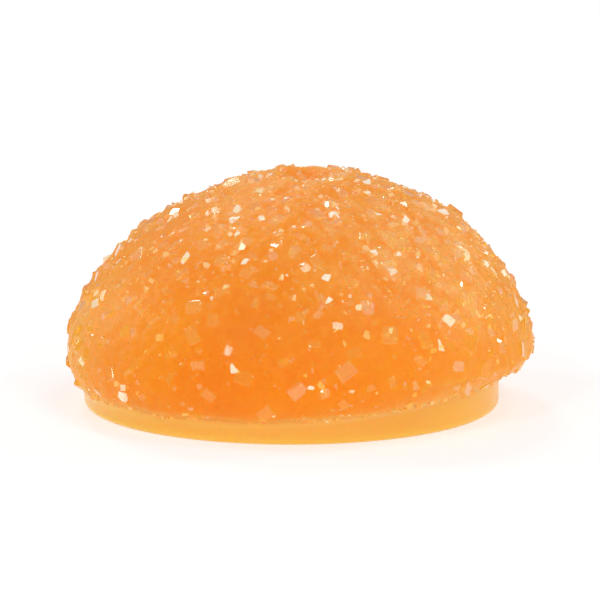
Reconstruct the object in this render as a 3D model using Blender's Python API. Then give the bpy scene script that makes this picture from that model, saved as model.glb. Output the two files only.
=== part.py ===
# One sugared fruit jelly: a soft moulded dome with a flat foot, rolled in granulated sugar.
# Metres, +Z up. The origin is the middle of the underside, and -Y is the side that the photograph shows.
import math
import random

import bmesh
import bpy
from mathutils import Matrix, Vector, noise

MM = 0.001
NODE = "jelly_dome"

# The moulded body, turned about Z
WIDEST_RADIUS = 11.05 * MM
WIDEST_HEIGHT = 2.8 * MM
TOP_HEIGHT = 11.25 * MM
DOME_POWER = 1.74  # 2 is an ellipse; less gives slimmer shoulders
UNDERCUT_POWER = 1.6  # a little fuller than a straight taper below the widest ring
FOOT_RADIUS = 9.85 * MM
FOOT_SHIFT = -0.4 * MM  # along X: the foot spread a little to the left while it set
FOOT_ROUNDING = 0.3 * MM

# A bare band shows above the foot, and the sugar crust stands out over it with a thin edge
BAND_HEIGHT = 0.85 * MM
CRUST_STEP = 0.12 * MM
CRUST_EDGE = 0.22 * MM
# To the right of the front the crust's edge rises, and it stands out further there
LIFT_AZIMUTH = math.radians(-25)
LIFT_REACH = math.radians(45)
LIFT_HEIGHT = 0.85 * MM
LIFT_STEP = 0.26 * MM

# The pit that the mould leaves in the top, a little off the middle
PIT_MIDDLE = Vector((0.35, -0.1)) * MM
PIT_RADIUS = 1.5 * MM
PIT_DEPTH = 0.5 * MM
PIT_STEEPNESS = 1.35  # more makes the bowl narrower
PIT_LIP = 0.1 * MM
PIT_LIP_REACH = 1.15  # where the lip stands highest, in pit radii
PIT_LIP_WIDTH = 0.28
PIT_FROM = 0.5  # the share of the crust above which the pit can be felt

# Uneven growth of the body: where each lump lies, how far it reaches and how far it stands out
LUMPS = (
    (Vector((6.9, -1.0, 8.6)) * MM, 3.4 * MM, 0.55 * MM),  # the full shoulder on the right
    (Vector((-7.6, -1.5, 7.4)) * MM, 3.8 * MM, -0.28 * MM),  # the slack slope on the left
    (Vector((-2.0, 8.2, 6.8)) * MM, 3.6 * MM, 0.3 * MM),  # the back
    (Vector((3.5, -9.8, 3.6)) * MM, 3.2 * MM, 0.16 * MM),  # the front, low down
)
SAG_SIZE = 7.0 * MM  # soft waves of the whole body
SAG_DEPTH = 0.2 * MM
SKIN_SIZE = 1.5 * MM  # the skin's own unevenness under the sugar
SKIN_DEPTH = 0.07 * MM
EDGE_SIZE = 2.2 * MM  # rise and fall of the crust's lower edge
EDGE_DEPTH = 0.16 * MM
NOISE_START = Vector((3.1, 0.4, 7.7))

TRIANGLE_SIDE = 0.84 * MM
DOME_RINGS = 19
UNDERCUT_RINGS = 4
ROUNDING_RINGS = 3
FEWEST_STEPS = 6  # round the last ring before the top
AREA_STEPS = 400  # in which the crust's surface is measured
NUDGE = 0.004  # in share and azimuth, between the points that give a normal

# The largest sugar crystals, which are pressed into the skin
CRYSTAL_COUNT = 264
CRYSTAL_LOWEST = -0.85  # share of the crust at which they start, where -1 is its lower edge
CRYSTAL_LENGTH = (0.5 * MM, 0.92 * MM)
CRYSTAL_WIDTH = 0.78  # of the length
CRYSTAL_THICKNESS = 0.64
CRYSTAL_SLANT = 0.22  # sugar grows as leaning blocks
CRYSTAL_SUNK = 0.14  # depth of the crystal's middle under the skin, of its length
CRYSTAL_TILT = math.radians(34)
CRYSTAL_JITTER = 0.6 * MM
GOLDEN_ANGLE = math.pi * (3 - math.sqrt(5))
SEED = 23

JELLY_COLOUR = (0.95, 0.3, 0.035, 1.0)  # linear, orange
JELLY_ROUGHNESS = 0.38
JELLY_GLOW = 0.6
JELLY_GLOW_RADIUS = (4.0, 1.5, 0.3)  # mm


def clear_scene():
    for old in list(bpy.data.objects):
        bpy.data.objects.remove(old, do_unlink=True)


def jelly_material():
    made = bpy.data.materials.new("sugared_jelly")
    made.use_nodes = True
    shader = made.node_tree.nodes["Principled BSDF"]
    shader.inputs["Base Color"].default_value = JELLY_COLOUR
    shader.inputs["Roughness"].default_value = JELLY_ROUGHNESS
    shader.inputs["Metallic"].default_value = 0.0
    shader.inputs["Subsurface Weight"].default_value = JELLY_GLOW
    shader.inputs["Subsurface Radius"].default_value = JELLY_GLOW_RADIUS
    shader.inputs["Subsurface Scale"].default_value = MM
    return made


def lift(azimuth):
    # 1 where the crust's lower edge is highest, and 0 far from there.
    off = math.remainder(azimuth - LIFT_AZIMUTH, math.tau)
    return math.exp(-((off / LIFT_REACH) ** 2))


def band_top(azimuth):
    return BAND_HEIGHT + LIFT_HEIGHT * lift(azimuth)


def crust_curve(share, azimuth):
    # Radius and height of the crust: share -1 is its lower edge, 0 the widest ring and 1 the top.
    angle = share * math.pi / 2
    if share >= 0:
        bend = 2 / DOME_POWER
        inner_radius = 0
        end_height = TOP_HEIGHT
    else:
        bend = 2 / UNDERCUT_POWER
        inner_radius = FOOT_RADIUS + CRUST_STEP + LIFT_STEP * lift(azimuth)
        end_height = band_top(azimuth) + CRUST_EDGE
    radius = inner_radius + (WIDEST_RADIUS - inner_radius) * math.cos(angle) ** bend
    height = WIDEST_HEIGHT + (end_height - WIDEST_HEIGHT) * abs(math.sin(angle)) ** bend
    return radius, height


def round_point(radius, height, azimuth):
    return Vector((radius * math.cos(azimuth), radius * math.sin(azimuth), height))


def foot_point(radius, height, azimuth):
    return round_point(radius, height, azimuth) + Vector((FOOT_SHIFT, 0, 0))


def pit_drop(point):
    # How far the pit lowers the skin here; its lip stands up a little instead.
    reach = (point.xy - PIT_MIDDLE).length / PIT_RADIUS
    bowl = PIT_DEPTH * math.exp(-((PIT_STEEPNESS * reach) ** 4))
    lip = PIT_LIP * math.exp(-(((reach - PIT_LIP_REACH) / PIT_LIP_WIDTH) ** 2))
    return bowl - lip


def crust_point(share, azimuth):
    # A point of the turned crust, moved by the lumps, the waves, the skin's relief and the pit.
    point = round_point(*crust_curve(share, azimuth), azimuth)
    away = Vector((point.x, point.y, max(0, point.z - WIDEST_HEIGHT))).normalized()
    push = sum(
        rise * math.exp(-(((point - middle).length / reach) ** 2)) for middle, reach, rise in LUMPS
    )
    push += SAG_DEPTH * noise.noise(point / SAG_SIZE + NOISE_START)
    push += SKIN_DEPTH * noise.noise(point / SKIN_SIZE)
    held = max(0, -share)  # the lower edge keeps to the foot
    moved = point + away * push * (1 - held)
    moved.x += FOOT_SHIFT * held
    moved.z += EDGE_DEPTH * noise.noise(point / EDGE_SIZE) * held
    if share > PIT_FROM:
        moved.z -= pit_drop(point)
    return moved


def steps_round(radius):
    return max(FEWEST_STEPS, round(math.tau * radius / TRIANGLE_SIDE))


def azimuths(steps):
    return [step / steps * math.tau for step in range(steps)]


def body_rings():
    # Rings of points from the edge of the flat underside up to the last one before the top.
    rings = []
    foot_azimuths = azimuths(steps_round(WIDEST_RADIUS))
    for step in range(ROUNDING_RINGS + 1):
        angle = step / ROUNDING_RINGS * math.pi / 2
        radius = FOOT_RADIUS - FOOT_ROUNDING * (1 - math.sin(angle))
        height = FOOT_ROUNDING * (1 - math.cos(angle))
        rings.append([foot_point(radius, height, azimuth) for azimuth in foot_azimuths])
    rings.append([foot_point(FOOT_RADIUS, band_top(azimuth), azimuth) for azimuth in foot_azimuths])
    for step in range(UNDERCUT_RINGS):
        share = step / UNDERCUT_RINGS - 1
        rings.append([crust_point(share, azimuth) for azimuth in foot_azimuths])
    for step in range(DOME_RINGS):
        share = step / DOME_RINGS
        steps = steps_round(crust_curve(share, 0)[0])
        rings.append([crust_point(share, azimuth) for azimuth in azimuths(steps)])
    return rings


def stitch(mesh, lower, upper):
    # Triangles between two rings of corners, which may differ in number.
    low, high = 0, 0
    while low < len(lower) or high < len(upper):
        corners = [lower[low % len(lower)], upper[high % len(upper)]]
        low_is_behind = (low + 0.5) / len(lower) <= (high + 0.5) / len(upper)
        if low_is_behind and low < len(lower) or high == len(upper):
            low += 1
            corners.insert(1, lower[low % len(lower)])
        else:
            high += 1
            corners.insert(1, upper[high % len(upper)])
        mesh.faces.new(corners)


def body_mesh():
    mesh = bmesh.new()
    rings = [[mesh.verts.new(point) for point in ring] for ring in body_rings()]
    for lower, upper in zip(rings, rings[1:]):
        stitch(mesh, lower, upper)
    under = mesh.verts.new((FOOT_SHIFT, 0, 0))
    top = mesh.verts.new(crust_point(1, 0))
    for corner, ahead in zip(rings[0], rings[0][1:] + rings[0][:1]):
        mesh.faces.new((under, ahead, corner))
    for corner, ahead in zip(rings[-1], rings[-1][1:] + rings[-1][:1]):
        mesh.faces.new((corner, ahead, top))
    made = bpy.data.meshes.new(NODE)
    mesh.to_mesh(made)
    mesh.free()
    return made


def crust_normal(share, azimuth):
    up = crust_point(min(share + NUDGE, 1), azimuth) - crust_point(max(share - NUDGE, -1), azimuth)
    ahead = crust_point(share, azimuth + NUDGE) - crust_point(share, azimuth - NUDGE)
    return ahead.cross(up).normalized()


def shares_of_equal_area(count):
    # Places up the crust that split its surface into rings of the same area, from the lowest up.
    places = [CRYSTAL_LOWEST + (1 - CRYSTAL_LOWEST) * step / AREA_STEPS for step in range(AREA_STEPS + 1)]
    areas = [0.0]
    for low, high in zip(places, places[1:]):
        low_radius, low_height = crust_curve(low, 0)
        high_radius, high_height = crust_curve(high, 0)
        slope = math.hypot(high_radius - low_radius, high_height - low_height)
        areas.append(areas[-1] + slope * (low_radius + high_radius))
    shares = []
    step = 0
    for index in range(count):
        wanted = areas[-1] * (index + 0.5) / count
        while areas[step + 1] < wanted:
            step += 1
        part = (wanted - areas[step]) / (areas[step + 1] - areas[step])
        shares.append(places[step] + part * (places[step + 1] - places[step]))
    return shares


def crystal_mesh():
    # A block of sugar one unit long, leaning as a crystal does.
    mesh = bmesh.new()
    bmesh.ops.create_cube(mesh, size=1)
    for corner in mesh.verts:
        corner.co.x += CRYSTAL_SLANT * corner.co.z
        corner.co.y *= CRYSTAL_WIDTH
        corner.co.z *= CRYSTAL_THICKNESS
    made = bpy.data.meshes.new("crystal")
    mesh.to_mesh(made)
    mesh.free()
    return made


def crystal_objects(collection):
    # The largest crystals lie in a golden-angle spiral over the crust, each a little off its place.
    draw = random.Random(SEED)
    shape = crystal_mesh()
    shortest, longest = CRYSTAL_LENGTH
    for index, share in enumerate(shares_of_equal_area(CRYSTAL_COUNT)):
        radius = max(crust_curve(share, 0)[0], CRYSTAL_JITTER)
        azimuth = index * GOLDEN_ANGLE + draw.uniform(-1, 1) * CRYSTAL_JITTER / radius
        length = shortest + (longest - shortest) * draw.random() ** 2
        turn = Matrix.Rotation(draw.uniform(0, math.tau), 4, "Z")
        lean = Matrix.Rotation(draw.uniform(-CRYSTAL_TILT, CRYSTAL_TILT), 4, "X")
        point = crust_point(share, azimuth)
        if (point.xy - PIT_MIDDLE).length < PIT_RADIUS:
            continue
        normal = crust_normal(share, azimuth)
        stand = Vector((0, 0, 1)).rotation_difference(normal).to_matrix().to_4x4()
        place = Matrix.Translation(point - normal * CRYSTAL_SUNK * length)
        crystal = bpy.data.objects.new(f"crystal_{index}", shape)
        crystal.matrix_world = place @ stand @ turn @ lean @ Matrix.Scale(length, 4)
        collection.objects.link(crystal)


def fuse(body, collection):
    union = body.modifiers.new("sugar", "BOOLEAN")
    union.operation = "UNION"
    union.operand_type = "COLLECTION"
    union.collection = collection
    union.solver = "EXACT"
    bpy.context.view_layer.objects.active = body
    bpy.ops.object.modifier_apply(modifier=union.name)
    for crystal in list(collection.objects):
        bpy.data.objects.remove(crystal, do_unlink=True)
    bpy.data.collections.remove(collection)


def build():
    clear_scene()
    body = bpy.data.objects.new(NODE, body_mesh())
    bpy.context.scene.collection.objects.link(body)
    body.data.materials.append(jelly_material())
    crystals = bpy.data.collections.new("crystals")
    bpy.context.scene.collection.children.link(crystals)
    crystal_objects(crystals)
    fuse(body, crystals)


build()
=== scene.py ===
import bisect
import math
import random

import bmesh
import bpy
import numpy as np
from mathutils import Matrix, Quaternion, Vector, noise


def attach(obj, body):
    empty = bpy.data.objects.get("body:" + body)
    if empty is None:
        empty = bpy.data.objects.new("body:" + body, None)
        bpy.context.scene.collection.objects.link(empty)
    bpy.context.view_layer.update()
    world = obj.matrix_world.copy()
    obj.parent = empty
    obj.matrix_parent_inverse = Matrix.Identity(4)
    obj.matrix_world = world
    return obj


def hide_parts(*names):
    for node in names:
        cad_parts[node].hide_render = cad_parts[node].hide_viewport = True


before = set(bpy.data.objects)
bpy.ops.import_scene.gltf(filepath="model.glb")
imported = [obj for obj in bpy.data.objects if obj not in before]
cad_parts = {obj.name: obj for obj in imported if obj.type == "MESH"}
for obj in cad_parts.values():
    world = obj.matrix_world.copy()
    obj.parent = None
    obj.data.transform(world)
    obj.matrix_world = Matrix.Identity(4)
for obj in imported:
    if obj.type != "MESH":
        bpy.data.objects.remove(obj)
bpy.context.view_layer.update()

mm = 0.001
up = Vector((0, 0, 1))


def srgb(code):  # hex colour to linear, with alpha
    parts = [int(code[i:i + 2], 16) / 255 for i in (1, 3, 5)]
    return [c / 12.92 if c <= 0.04045 else ((c + 0.055) / 1.055) ** 2.4 for c in parts] + [1.0]


def addNode(tree, kind, settings=None, links=None):
    # Settings and links go by the name or number of a socket; a link's value is another node's output
    made = tree.nodes.new(kind)
    for name, value in (settings or {}).items():
        if name in made.inputs:
            made.inputs[name].default_value = value
        else:
            setattr(made, name, value)
    for name, source in (links or {}).items():
        tree.links.new(source, made.inputs[name])
    return made


def blankMaterial(name):
    made = bpy.data.materials.new(name)
    made.use_nodes = True
    made.node_tree.nodes.clear()
    return made, made.node_tree


# The jelly's form, in millimetres and degrees. Down to noiseStart it is what the solid has
jellySet = dict(
    widestRadius=11.05, widestHeight=2.8, topHeight=11.25,
    domePower=1.74, undercutPower=1.6,  # of the curves above and below the widest ring; 2 is an ellipse
    footRadius=9.85, footShift=-0.4, footRounding=0.3,
    bandHeight=0.85, crustStep=0.12, crustEdge=0.22,  # the crust stands out over a bare band
    flarePower=3,  # more makes the band flare out later on its way up to the crust
    liftAzimuth=-25, liftReach=45, liftHeight=0.85, liftStep=0.26,  # where the crust's edge is higher
    pitMiddle=(0.35, -0.1), pitRadius=1.5, pitDepth=0.5, pitLip=0.1,
    pitSteepness=1.35, pitLipReach=1.15, pitLipWidth=0.28,  # in pit radii; steeper is also narrower
    pitFrom=0.5,  # the share of the crust above which the pit can be felt
    lumps=(  # where each lies, how far it reaches and how far it stands out
        ((6.9, -1.0, 8.6), 3.4, 0.55),
        ((-7.6, -1.5, 7.4), 3.8, -0.28),
        ((-2.0, 8.2, 6.8), 3.6, 0.3),
        ((3.5, -9.8, 3.6), 3.2, 0.16),
    ),
    sagSize=7.0, sagDepth=0.2, skinSize=1.5, skinDepth=0.07, edgeSize=2.2, edgeDepth=0.16,
    noiseStart=(3.1, 0.4, 7.7),
    grainSize=0.6, grainDepth=0.07,  # sugar that melted into the skin leaves rounded grains
    grainReach=0.7, grainRise=2.5,  # in cells; how soon they begin above the crust's lower edge
    paintedGlowPatches=(  # painted glow: where each patch lies, how far it reaches and how much of the band's golden colour it paints on, for light shining through the thin crust at the sides
        ((-10.8, -2.5, 3.5), 3.2, 0.45),
        ((10.8, -2.5, 4.0), 3.2, 0.35),
        ((7.3, -7.6, 1.8), 2.6, 0.3),
        ((1.5, 10.6, 2.5), 3.5, 0.35),
    ),
    hollowUnder=0.16, hollowPower=6, paintedGlowEdge=8,  # powers of the way out from the underside's middle; with the second, the painted golden glow of floor light shining in grows towards the foot's edge
    ledgeReach=0.3, ledgeLeast=0.05,  # in share; how much ledge there is where the edge is lowest
    roughLeast=0.15, roughRise=2.2,  # how crusty the lower edge is and how fast that grows; where it is less crusty it gets more of the painted golden glow
    roundSteps=400, domeSteps=84, undercutSteps=20, bandSteps=7, roundingSteps=5, underSteps=14,
)


def bell(far):  # 1 in the middle, fading softly to 0
    return math.exp(-(far ** 2))


def lift(azimuth):  # 1 where the crust's lower edge is highest
    off = math.remainder(azimuth - math.radians(jellySet["liftAzimuth"]), math.tau)
    return bell(off / math.radians(jellySet["liftReach"]))


def bandTop(azimuth):
    return jellySet["bandHeight"] + jellySet["liftHeight"] * lift(azimuth)


def crustCurve(share, azimuth):
    # Radius and height: share -1 is the crust's lower edge, 0 the widest ring and 1 the top
    s = jellySet
    angle = share * math.pi / 2
    bend, innerRadius, endHeight = 2 / s["domePower"], 0, s["topHeight"]
    if share < 0:
        bend = 2 / s["undercutPower"]
        innerRadius = s["footRadius"] + s["crustStep"] + s["liftStep"] * lift(azimuth)
        endHeight = bandTop(azimuth) + s["crustEdge"]
    radius = innerRadius + (s["widestRadius"] - innerRadius) * math.cos(angle) ** bend
    height = s["widestHeight"] + (endHeight - s["widestHeight"]) * abs(math.sin(angle)) ** bend
    return radius, height


def footPoint(radius, height, azimuth):
    across = radius * math.cos(azimuth) + jellySet["footShift"]
    return Vector((across, radius * math.sin(azimuth), height))


def pitReach(point):
    return (point.xy - Vector(jellySet["pitMiddle"])).length / jellySet["pitRadius"]


def swells(places, point):  # the sum of soft swellings, each given as place, reach and height
    return sum(rise * bell((point - Vector(at)).length / reach) for at, reach, rise in places)


def grains(point):  # rounded grains, one to a cell
    near = noise.voronoi(point / jellySet["grainSize"])[0][0]
    return jellySet["grainDepth"] * max(0, 1 - (near / jellySet["grainReach"]) ** 2)


def crustPoint(share, azimuth, fine=False):
    s = jellySet
    radius, height = crustCurve(share, azimuth)
    point = Vector((radius * math.cos(azimuth), radius * math.sin(azimuth), height))
    away = Vector((point.x, point.y, max(0, height - s["widestHeight"]))).normalized()
    push = swells(s["lumps"], point)
    push += s["sagDepth"] * noise.noise(point / s["sagSize"] + Vector(s["noiseStart"]))
    push += s["skinDepth"] * noise.noise(point / s["skinSize"])
    held = max(0, -share)  # the lower edge keeps to the foot
    moved = point + away * push * (1 - held)
    if fine:
        begun = min(1, s["grainRise"] * (1 + share))
        moved += away * grains(point) * begun * min(1, pitReach(point) ** 2)
    moved.x += s["footShift"] * held
    moved.z += s["edgeDepth"] * noise.noise(point / s["edgeSize"]) * held
    if share > s["pitFrom"]:
        reach = pitReach(point)
        moved.z -= s["pitDepth"] * math.exp(-((s["pitSteepness"] * reach) ** 4))
        moved.z += s["pitLip"] * bell((reach - s["pitLipReach"]) / s["pitLipWidth"])
    return moved


# Where sugar lies thickest, in millimetres: towards the top, in the pit and in some crowds
coverSet = dict(
    low=4.5, high=12.0,
    crowds=(  # where each lies, how far it reaches and how much it adds
        ((6.2, -4.6, 8.0), 3.8, 2.3),
        ((-8.6, -4.5, 5.0), 2.6, 0.6),
        ((0.35, -0.1, 10.9), 1.5, 0.9),
    ),
    patchSize=2.6, patchShift=(5, 1, 9), patchMean=0.75, patchSwing=0.6,
)


def coverAt(point):  # 0 low on the sides, 1 at the top, more in a crowd
    s = coverSet
    return min(1, max(0, (point.z - s["low"]) / (s["high"] - s["low"]))) + swells(s["crowds"], point)


def ledgeAt(share, azimuth):  # how much sugar has gathered along the crust's lower edge
    least = jellySet["ledgeLeast"]
    return bell((1 + share) / jellySet["ledgeReach"]) * (least + (1 - least) * lift(azimuth))


def jellyRings():
    # Each ring's points, how much of it is crust, how golden it is (a painted glow of floor light
    # shining through the thin bare foot) and the ledge at each point, from the middle of the underside
    # to the top
    s = jellySet
    azimuths = [math.tau * step / s["roundSteps"] for step in range(s["roundSteps"])]
    bare = [0] * len(azimuths)
    flat = s["footRadius"] - s["footRounding"]
    for step in range(1, s["underSteps"] + 1):
        part = step / s["underSteps"]
        hollow = s["hollowUnder"] * (1 - part ** s["hollowPower"])
        ring = [footPoint(flat * part, hollow, azimuth) for azimuth in azimuths]
        yield ring, 0, part ** s["paintedGlowEdge"], bare
    for step in range(1, s["roundingSteps"] + 1):
        angle = step / s["roundingSteps"] * math.pi / 2
        radius = flat + s["footRounding"] * math.sin(angle)
        height = s["footRounding"] * (1 - math.cos(angle))
        yield [footPoint(radius, height, azimuth) for azimuth in azimuths], 0, 1, bare
    for step in range(1, s["bandSteps"] + 1):
        part = step / s["bandSteps"]
        ring = []
        for azimuth in azimuths:
            height = s["footRounding"] + (bandTop(azimuth) - s["footRounding"]) * part
            flare = s["crustStep"] * (1 - lift(azimuth)) * part ** s["flarePower"]
            ring.append(footPoint(s["footRadius"] + flare, height, azimuth))
        yield ring, 0, 1, bare if part < 1 else [ledgeAt(-1, azimuth) for azimuth in azimuths]
    for step in range(s["undercutSteps"]):
        share = step / s["undercutSteps"] - 1
        ring = [crustPoint(share, azimuth, fine=True) for azimuth in azimuths]
        rough = min(1, s["roughLeast"] + s["roughRise"] * (1 + share))
        yield ring, rough, 1 - rough, [ledgeAt(share, azimuth) for azimuth in azimuths]
    for step in range(s["domeSteps"]):
        share = step / s["domeSteps"]
        yield [crustPoint(share, azimuth, fine=True) for azimuth in azimuths], 1, 0, bare


def makeJelly():
    points, crust, golden, ledge = [], [], [], []
    for ring, isCrust, isGlowPainted, isLedge in jellyRings():
        points += ring
        crust += [isCrust] * len(ring)
        # painted glow: patches of the band's golden colour on the crust, for light shining through it
        # where it is thin
        thin = [swells(jellySet["paintedGlowPatches"], point) for point in ring]
        golden += [isGlowPainted + (1 - isGlowPainted) * isCrust * part for part in thin]
        ledge += isLedge
    steps = jellySet["roundSteps"]
    ahead = [(step + 1) % steps for step in range(steps)]
    under, top, last = len(points), len(points) + 1, len(points) - steps
    faces = [
        (first + step, first + ahead[step], first + steps + ahead[step], first + steps + step)
        for first in range(0, last, steps) for step in range(steps)
    ]
    points += [Vector((jellySet["footShift"], 0, jellySet["hollowUnder"])), crustPoint(1, 0, fine=True)]
    crust += [0, 1]
    golden += [0, 0]
    ledge += [0, 0]
    faces += [(under, ahead[step], step) for step in range(steps)]
    faces += [(last + step, last + ahead[step], top) for step in range(steps)]
    mesh = bpy.data.meshes.new("jellyBody")
    mesh.from_pydata([point * mm for point in points], [], faces)
    mesh.shade_smooth()
    cover = [coverAt(point) for point in points]
    for name, values in (("crust", crust), ("golden", golden), ("ledge", ledge), ("cover", cover)):
        mesh.attributes.new(name, "FLOAT", "POINT").data.foreach_set("value", values)
    newPiece("jellyBody", mesh, jellyMaterial())


def newPiece(name, mesh, material):
    mesh.materials.append(material)
    piece = bpy.data.objects.new(name, mesh)
    bpy.context.scene.collection.objects.link(piece)
    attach(piece, "root")
    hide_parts("jelly_dome")
    return piece


# Pectin fruit jelly, set in a mould: clear orange all through, so light spreads inside it and thin edges
# glow. The crust is the same jelly with sugar melted into it, which makes it matt and paler to the top
jellyLook = dict(
    # band is a painted glow: golden for floor light shining through the thin bare foot
    deep="#F4850A", pale="#FA920E", band="#F6B852", frost="#FFC078", ledge="#FFD384", ledgeMost=0.75,
    # Noises: size in mm, detail and roughness, and the span of each that turns one colour to the other
    clouds=(5.0, 3, 0.5), cloudSpan=(0.3, 0.7),
    specks=(1.1, 5, 0.65), speckSpan=(0.3, 0.75), speckMost=2,  # a speck doubles the frost at most
    dust=(0.09, 2, 0.5), dustDepth=0.012,
    frosting=(0.02, 0.42), coverMost=2,  # how much the frost hides under no sugar and under the most
    pebbleSize=0.3, pebbleDepth=0.06,
    ior=1.43, specular=0.2, glowRadius=(1.0, 0.42, 0.12), glowReach=2.4,
    roughness=(0.2, 0.46), glowWeight=(1.0, 0.72),  # of the bare band and of the crust
    sheen=0.28, sheenRoughness=0.4, sheenTint="#FFCC80",  # dust of sugar, which the rims show most
)


def perMetre(size):  # a texture's scale for a pattern of this size in mm
    return 1000 / size


def mixColours(tree, share, low, high):  # low and high are hex colours or a node's output
    made = addNode(tree, "ShaderNodeMix", dict(data_type="RGBA"), {0: share})
    for socket, colour in ((made.inputs[6], low), (made.inputs[7], high)):
        if isinstance(colour, str):
            socket.default_value = srgb(colour)
        else:
            tree.links.new(colour, socket)
    return made.outputs[2]


def between(tree, share, limits, reach=(0, 1)):  # from limits[0] to limits[1] as share goes over reach
    settings = {"From Min": reach[0], "From Max": reach[1], "To Min": limits[0], "To Max": limits[1]}
    return addNode(tree, "ShaderNodeMapRange", settings, {"Value": share}).outputs[0]


def painted(tree, name):  # the value that makeJelly gave to each point
    return addNode(tree, "ShaderNodeAttribute", dict(attribute_name=name)).outputs["Fac"]


def noiseOf(tree, place, pattern):
    size, detail, roughness = pattern
    settings = {"Scale": perMetre(size), "Detail": detail, "Roughness": roughness}
    return addNode(tree, "ShaderNodeTexNoise", settings, {"Vector": place}).outputs["Fac"]


def times(tree, one, other):
    return addNode(tree, "ShaderNodeMath", dict(operation="MULTIPLY"), {0: one, 1: other}).outputs[0]


def bump(tree, height, depth, coarser=None):  # depth in mm; coarser is another bump's normal
    links = {"Height": height, "Normal": coarser} if coarser else {"Height": height}
    settings = {"Strength": 1.0, "Distance": depth * mm}
    return addNode(tree, "ShaderNodeBump", settings, links).outputs["Normal"]


def jellyMaterial():
    look = jellyLook
    made, tree = blankMaterial("pectinJellyMoulded")
    place = addNode(tree, "ShaderNodeTexCoord").outputs["Object"]
    crust, golden, ledge, cover = [painted(tree, name) for name in ("crust", "golden", "ledge", "cover")]
    cloudy = between(tree, noiseOf(tree, place, look["clouds"]), (0, 1), look["cloudSpan"])
    body = mixColours(tree, cloudy, look["deep"], look["pale"])
    specks = noiseOf(tree, place, look["specks"])
    speckled = between(tree, specks, (0, look["speckMost"]), look["speckSpan"])
    covered = between(tree, cover, look["frosting"], (0, look["coverMost"]))
    frosted = mixColours(tree, times(tree, covered, speckled), body, look["frost"])
    # painted glow: the band's golden colour where the golden attribute says, for light shining through
    # thin jelly
    withPaintedGlow = mixColours(tree, golden, frosted, look["band"])
    skin = mixColours(tree, between(tree, ledge, (0, look["ledgeMost"])), withPaintedGlow, look["ledge"])
    pebbles = addNode(
        tree, "ShaderNodeTexVoronoi",
        dict(feature="SMOOTH_F1", Scale=perMetre(look["pebbleSize"])), {"Vector": place},
    ).outputs["Distance"]
    pebbled = bump(tree, times(tree, pebbles, crust), -look["pebbleDepth"])
    dust = times(tree, noiseOf(tree, place, look["dust"]), crust)
    shader = addNode(
        tree, "ShaderNodeBsdfPrincipled",
        {"IOR": look["ior"], "Specular IOR Level": look["specular"],
         "Subsurface Radius": look["glowRadius"], "Subsurface Scale": look["glowReach"] * mm,
         "Sheen Weight": look["sheen"], "Sheen Roughness": look["sheenRoughness"],
         "Sheen Tint": srgb(look["sheenTint"])},
        {"Base Color": skin,
         "Roughness": between(tree, crust, look["roughness"]),
         "Subsurface Weight": between(tree, crust, look["glowWeight"]),
         "Normal": bump(tree, dust, look["dustDepth"], pebbled)},
    )
    addNode(tree, "ShaderNodeOutputMaterial", links={"Surface": shader.outputs[0]})
    return made


# Granulated sugar: lengths in millimetres, and how much of its length each crystal is sunk. The pressed
# crystals are the ones that the solid has. Least is how thick the sugar lies where it is thinnest, and
# clearPit is how much of the pit's radius has none
sugarSet = dict(
    pressed=dict(
        seed=23, count=264, length=(0.5, 0.92), skew=2, sunk=0.14, lowest=-0.85, tilt=34, jitter=0.6,
    ),
    lowest=-0.97,  # share of the crust above which the next four are strewn
    coarse=dict(
        seed=5, count=560, length=(0.32, 0.64), skew=1.6, sunk=(0.1, 0.3), least=0.34, clearPit=0.5,
    ),
    fine=dict(
        seed=8, count=1900, length=(0.14, 0.3), skew=1.6, sunk=(0.05, 0.3), least=0.3, clearPit=0,
    ),
    milky=dict(
        seed=17, count=800, length=(0.11, 0.42), skew=2.6, sunk=(0, 0.25), least=0.14, clearPit=0,
    ),
    # painted glints: these white crystals stand for the brightest sparkles of the lamps
    white=dict(
        seed=31, count=76, length=(0.3, 0.68), skew=1.8, sunk=(0.15, 0.35), least=0.3, clearPit=0.5,
    ),
    ledge=dict(seed=29, count=230, length=(0.13, 0.34), sunk=(0, 0.2), reach=0.14, least=0.35),
    under=dict(seed=11, count=300, length=(0.16, 0.34), edge=1.0, gap=0.02, raised=0.42, lean=0.1),
)

# How a crystal one unit long is shaped
crystalSet = dict(
    shapes=14, pressedSize=(0.78, 0.64), width=(0.62, 0.92), thickness=(0.5, 0.8), slant=0.22,
    cutShare=0.4, cut=(0.14, 0.42), bevel=0.04,
)


def inOrder(points, faces):  # the bevel leaves them in another order each run, and the tints go by it
    order = np.lexsort(points.T)
    faces = np.argsort(order)[faces]
    faces = np.array([np.roll(face, -face.argmin()) for face in faces])
    return points[order], faces[np.lexsort(faces.T)]


def crystalShape(draw, width, thickness, bevelled):
    # A leaning block with some corners grown off flat
    s = crystalSet
    mesh = bmesh.new()
    for corner in [Vector((x, y, z)) for x in (-0.5, 0.5) for y in (-0.5, 0.5) for z in (-0.5, 0.5)]:
        depth = draw.uniform(*s["cut"]) if draw.random() < s["cutShare"] else 0
        for axis in range(3 if depth else 1):
            point = corner.copy()
            point[axis] *= 1 - 2 * depth
            mesh.verts.new((point.x + s["slant"] * point.z, point.y * width, point.z * thickness))
    bmesh.ops.convex_hull(mesh, input=mesh.verts)
    bmesh.ops.dissolve_limit(mesh, angle_limit=math.radians(1), verts=mesh.verts, edges=mesh.edges)
    if bevelled:
        edges = mesh.edges[:]
        bmesh.ops.bevel(mesh, geom=edges, offset=s["bevel"], segments=1, affect="EDGES", profile=0.5)
    bmesh.ops.triangulate(mesh, faces=mesh.faces)
    mesh.verts.ensure_lookup_table()
    points = np.array([corner.co for corner in mesh.verts])
    faces = np.array([[corner.index for corner in face.verts] for face in mesh.faces])
    mesh.free()
    return inOrder(points, faces) if bevelled else (points, faces)


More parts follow.
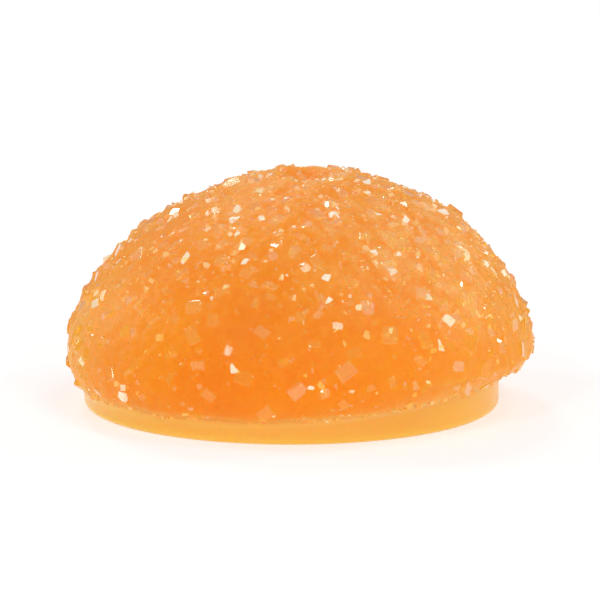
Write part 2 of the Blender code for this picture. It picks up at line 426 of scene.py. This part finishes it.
def crystalShapes(seed, bevelled, size=None):
    draw = random.Random(seed)
    s = crystalSet
    made = []
    for _ in range(s["shapes"]):
        width, thickness = size or (draw.uniform(*s["width"]), draw.uniform(*s["thickness"]))
        made.append(crystalShape(draw, width, thickness, bevelled))
    return made


def crustNormal(share, azimuth):
    nudge = 0.004  # in share and radians, between the points that give the normal
    rise = crustPoint(min(share + nudge, 1), azimuth) - crustPoint(max(share - nudge, -1), azimuth)
    ahead = crustPoint(share, azimuth + nudge) - crustPoint(share, azimuth - nudge)
    return ahead.cross(rise).normalized()


def areaTable(lowest, steps=400):
    # Places up the crust, and how much of its surface lies below each
    places = [lowest + (1 - lowest) * step / steps for step in range(steps + 1)]
    areas = [0.0]
    for low, high in zip(places, places[1:]):
        lowRadius, lowHeight = crustCurve(low, 0)
        highRadius, highHeight = crustCurve(high, 0)
        slope = math.hypot(highRadius - lowRadius, highHeight - lowHeight)
        areas.append(areas[-1] + slope * (lowRadius + highRadius))
    return places, areas


def shareAt(table, part):
    places, areas = table
    wanted = areas[-1] * part
    step = min(max(bisect.bisect_left(areas, wanted), 1), len(areas) - 1)
    along = (wanted - areas[step - 1]) / (areas[step] - areas[step - 1])
    return places[step - 1] + along * (places[step] - places[step - 1])


def skewed(draw, s):  # a length; more skew makes more of the crystals small
    shortest, longest = s["length"]
    return shortest + (longest - shortest) * draw.random() ** s["skew"]


def standing(point, normal, turn, lean, length):
    stand = up.rotation_difference(normal).to_matrix().to_4x4()
    turned = Matrix.Rotation(turn, 4, "Z") @ Matrix.Rotation(lean, 4, "X")
    return Matrix.Translation(point) @ stand @ turned @ Matrix.Scale(length, 4)


def tumbled(draw, point, length):  # turned any way at all
    turn = Quaternion([draw.gauss(0, 1) for _ in range(4)]).normalized()
    return Matrix.Translation(point) @ turn.to_matrix().to_4x4() @ Matrix.Scale(length, 4)


def pressedPlaces():
    # The same golden-angle spiral and draws as the solid's
    s = sugarSet["pressed"]
    draw = random.Random(s["seed"])
    table = areaTable(s["lowest"])
    tilt = math.radians(s["tilt"])
    golden = math.pi * (3 - math.sqrt(5))
    for index in range(s["count"]):
        share = shareAt(table, (index + 0.5) / s["count"])
        radius = max(crustCurve(share, 0)[0], s["jitter"])
        azimuth = index * golden + draw.uniform(-1, 1) * s["jitter"] / radius
        length = skewed(draw, s)
        turn, lean = draw.uniform(0, math.tau), draw.uniform(-tilt, tilt)
        point = crustPoint(share, azimuth)
        if pitReach(point) < 1:
            continue
        normal = crustNormal(share, azimuth)
        yield standing(point - normal * s["sunk"] * length, normal, turn, lean, length)


def strewnPlaces(s):
    # By chance, thicker in some patches than in others and thin low on the sides
    draw = random.Random(s["seed"])
    table = areaTable(sugarSet["lowest"])
    made = 0
    while made < s["count"]:
        share, azimuth = shareAt(table, draw.random()), draw.uniform(0, math.tau)
        point = crustPoint(share, azimuth)
        swing = noise.noise(point / coverSet["patchSize"] + Vector(coverSet["patchShift"]))
        patch = coverSet["patchMean"] + coverSet["patchSwing"] * swing
        patch *= s["least"] + (1 - s["least"]) * coverAt(point)
        if draw.random() > patch or pitReach(point) < s["clearPit"]:
            continue
        normal = crustNormal(share, azimuth)
        length = skewed(draw, s)
        point -= normal * draw.uniform(*s["sunk"]) * length
        yield tumbled(draw, point, length)
        made += 1


def ledgePlaces():
    # Broken grains along the crust's lower edge, most where it stands out
    s = sugarSet["ledge"]
    draw = random.Random(s["seed"])
    made = 0
    while made < s["count"]:
        share, azimuth = -1 + s["reach"] * draw.random(), draw.uniform(0, math.tau)
        if draw.random() > s["least"] + (1 - s["least"]) * lift(azimuth):
            continue
        length = draw.uniform(*s["length"])
        point = crustPoint(share, azimuth)
        point -= crustNormal(share, azimuth) * draw.uniform(*s["sunk"]) * length
        yield tumbled(draw, point, length)
        made += 1


def underPlaces():
    # Grains in the hollow of the underside, none lower than the foot
    s = sugarSet["under"]
    draw = random.Random(s["seed"])
    reach = jellySet["footRadius"] - s["edge"]
    for _ in range(s["count"]):
        radius, azimuth = reach * math.sqrt(draw.random()), draw.uniform(0, math.tau)
        length = draw.uniform(*s["length"])
        point = footPoint(radius, s["gap"] + s["raised"] * length, azimuth)
        turn, lean = draw.uniform(0, math.tau), draw.uniform(-s["lean"], s["lean"])
        yield standing(point, -up, turn, lean, length)


def makeSugar(name, places, shapes, material):
    points, faces, count = [], [], 0
    for index, place in enumerate(places):
        shape, sides = shapes[index % len(shapes)]
        turned = np.array(place)
        points.append(shape @ turned[:3, :3].T + turned[:3, 3])
        faces.append(sides + count)
        count += len(shape)
    mesh = bpy.data.meshes.new(name)
    mesh.from_pydata((np.concatenate(points) * mm).tolist(), [], np.concatenate(faces).tolist())
    piece = newPiece(name, mesh, material)
    piece.visible_shadow = piece.visible_diffuse = False  # clear grains leave the jelly under them lit
    print(name, "has", len(faces), "crystals and", sum(len(sides) for sides in faces), "triangles")


# Granulated sugar, crystals of sucrose: clear, so they take on the jelly's orange and glint where a face
# catches a lamp. Low down their tints are a painted golden glow of light through the jelly's thin lower
# edges, up high a paler painted light from above. Chance sets where each lies among the tints
clearSugar = dict(
    name="granulatedSugarClear",
    lowTintsPaintedGlow=((0.0, "#FFDC48"), (0.55, "#FFE458"), (0.88, "#FFF0B0"), (0.96, "#FFFAD8")),
    highTintsPaintedLight=((0.0, "#FFEAA8"), (0.6, "#FFF0B8"), (0.86, "#FFFAE0"), (0.95, "#FFFFF8")),
    lowest=4.0, highest=11.5,  # mm, between which the painted golden glow of one set of tints gives way to the painted light of the other
    ior=1.56, clear=0.86, roughness=(0.03, 0.12),
)
milkySugar = dict(  # cracked inside, so they are milky and look like peach specks
    name="granulatedSugarCracked",
    lowTintsPaintedGlow=((0.0, "#FFAC38"), (0.6, "#FFB848"), (0.9, "#FFCC70"), (0.97, "#FFE4A8")),
    highTintsPaintedLight=((0.0, "#FFBC74"), (0.6, "#FFCC90"), (0.85, "#FFE2BC"), (0.94, "#FFF6E6")),
    lowest=4.0, highest=11.5,
    ior=1.56, clear=0.0, roughness=(0.15, 0.4),
)
paintedGlintSugar = dict(  # painted glints: crystals painted nearly white, which stand for the brightest sparkles of the lamps
    name="granulatedSugarSplit",
    lowTintsPaintedGlow=((0.0, "#FFD8A0"), (0.5, "#FFE8C4")),
    highTintsPaintedLight=((0.0, "#FFE4C0"), (0.5, "#FFF2E0")),
    lowest=4.0, highest=11.5,
    ior=1.56, clear=0.0, roughness=(0.1, 0.3),
)


def ramp(tree, share, stops):
    made = addNode(tree, "ShaderNodeValToRGB", links={"Fac": share})
    elements = made.color_ramp.elements
    while len(elements) < len(stops):
        elements.new(0.5)
    for element, (position, colour) in zip(elements, stops):
        element.position, element.color = position, srgb(colour)
    return made.outputs["Color"]


def sugarMaterial(look):
    made, tree = blankMaterial(look["name"])
    chance = addNode(tree, "ShaderNodeNewGeometry").outputs["Random Per Island"]
    shuffled = addNode(tree, "ShaderNodeTexWhiteNoise", dict(noise_dimensions="1D"), {"W": chance})
    place = addNode(tree, "ShaderNodeTexCoord").outputs["Object"]
    height = addNode(tree, "ShaderNodeSeparateXYZ", links={0: place}).outputs["Z"]
    # painted light: the tints go from a golden glow low down to paler up high
    raised = between(tree, height, (0, 1), (look["lowest"] * mm, look["highest"] * mm))
    low, high = [ramp(tree, chance, look[name]) for name in ("lowTintsPaintedGlow", "highTintsPaintedLight")]
    shader = addNode(
        tree, "ShaderNodeBsdfPrincipled",
        {"IOR": look["ior"], "Transmission Weight": look["clear"]},
        {"Base Color": mixColours(tree, raised, low, high),
         "Roughness": between(tree, shuffled.outputs["Value"], look["roughness"])},
    )
    addNode(tree, "ShaderNodeOutputMaterial", links={"Surface": shader.outputs[0]})
    return made


# Studio, in metres and watts
studioSet = dict(
    floorSize=4.0, floorDrop=0.01 * mm, floorColour="#B8B8B8", floorRoughness=0.6, floorGlow=0.56,
    world=0.35,
    lights=(  # name, place, size, power
        ("overhead", (0.14, -0.05, 0.4), 0.12, 0.27),
        ("rimLeft", (-0.3, 0.12, 0.14), 0.08, 0.25),
        ("rimRight", (0.3, 0.1, 0.16), 0.08, 0.25),
        ("frontLeft", (-0.16, -0.3, 0.25), 0.08, 0.3),
        ("frontRight", (0.16, -0.34, 0.22), 0.08, 0.27),
        ("back", (-0.1, 0.3, 0.3), 0.08, 0.25),
        ("sparkLeft", (-0.3, -0.2, 0.35), 0.03, 0.1),
        ("sparkLow", (0.1, -0.4, 0.12), 0.03, 0.1),
    ),
    cameraDistance=0.94, elevation=11.5, frameWidth=28.5 * mm, aim=(0, 0, 5.0 * mm),
    sensor=36, clip=(0.05, 10),
)


def makeStudio():
    s = studioSet
    half = s["floorSize"] / 2
    mesh = bpy.data.meshes.new("floor")
    corners = [(-half, -half, 0), (half, -half, 0), (half, half, 0), (-half, half, 0)]
    mesh.from_pydata(corners, [], [(0, 1, 2, 3)])
    # Opal acrylic sheet, lit a little from below, so that nothing on it throws a hard shadow
    sheet, tree = blankMaterial("opalAcrylicSheet")
    shader = addNode(
        tree, "ShaderNodeBsdfPrincipled",
        {"Base Color": srgb(s["floorColour"]), "Roughness": s["floorRoughness"],
         "Emission Color": (1, 1, 1, 1), "Emission Strength": s["floorGlow"]},
    )
    addNode(tree, "ShaderNodeOutputMaterial", links={"Surface": shader.outputs[0]})
    mesh.materials.append(sheet)
    floor = bpy.data.objects.new("floor", mesh)
    floor.location.z = -s["floorDrop"]
    bpy.context.scene.collection.objects.link(floor)
    for name, place, size, power in s["lights"]:
        lamp = bpy.data.lights.new(name, "AREA")
        lamp.size, lamp.energy = size, power
        holder = bpy.data.objects.new(name, lamp)
        holder.location = place
        holder.rotation_euler = (-Vector(place)).to_track_quat("-Z", "Y").to_euler()
        bpy.context.scene.collection.objects.link(holder)
    world = bpy.data.worlds.new("studio")
    world.use_nodes = True
    background = world.node_tree.nodes["Background"]
    background.inputs["Color"].default_value = (1, 1, 1, 1)
    background.inputs["Strength"].default_value = s["world"]
    bpy.context.scene.world = world
    bpy.context.scene.view_settings.view_transform = "Standard"


def makeCamera():
    s = studioSet
    camera = bpy.data.objects.new("camera", bpy.data.cameras.new("camera"))
    camera.data.sensor_width = s["sensor"]
    camera.data.lens = s["sensor"] * s["cameraDistance"] / s["frameWidth"]
    tilt = math.radians(s["elevation"])
    away = Vector((0, -math.cos(tilt), math.sin(tilt)))
    camera.location = Vector(s["aim"]) + away * s["cameraDistance"]
    camera.rotation_euler = (-away).to_track_quat("-Z", "Y").to_euler()
    camera.data.clip_start, camera.data.clip_end = s["clip"]
    bpy.context.scene.collection.objects.link(camera)
    bpy.context.scene.camera = camera


makeJelly()
print("the jelly is made")
sugar = sugarMaterial(clearSugar)
pressedShapes = crystalShapes(seed=1, bevelled=True, size=crystalSet["pressedSize"])
makeSugar("sugarPressed", pressedPlaces(), pressedShapes, sugar)
makeSugar("sugarCoarse", strewnPlaces(sugarSet["coarse"]), crystalShapes(seed=2, bevelled=True), sugar)
makeSugar("sugarFine", strewnPlaces(sugarSet["fine"]), crystalShapes(seed=3, bevelled=False), sugar)
makeSugar("sugarUnder", underPlaces(), crystalShapes(seed=4, bevelled=False), sugar)
cracked = sugarMaterial(milkySugar)
makeSugar("sugarMilky", strewnPlaces(sugarSet["milky"]), crystalShapes(seed=6, bevelled=False), cracked)
paintedGlints = sugarMaterial(paintedGlintSugar)
makeSugar("sugarPaintedGlint", strewnPlaces(sugarSet["white"]), crystalShapes(seed=8, bevelled=True), paintedGlints)
makeSugar("sugarLedge", ledgePlaces(), crystalShapes(seed=7, bevelled=False), cracked)
makeStudio()
makeCamera()
print("the studio and the camera are set")
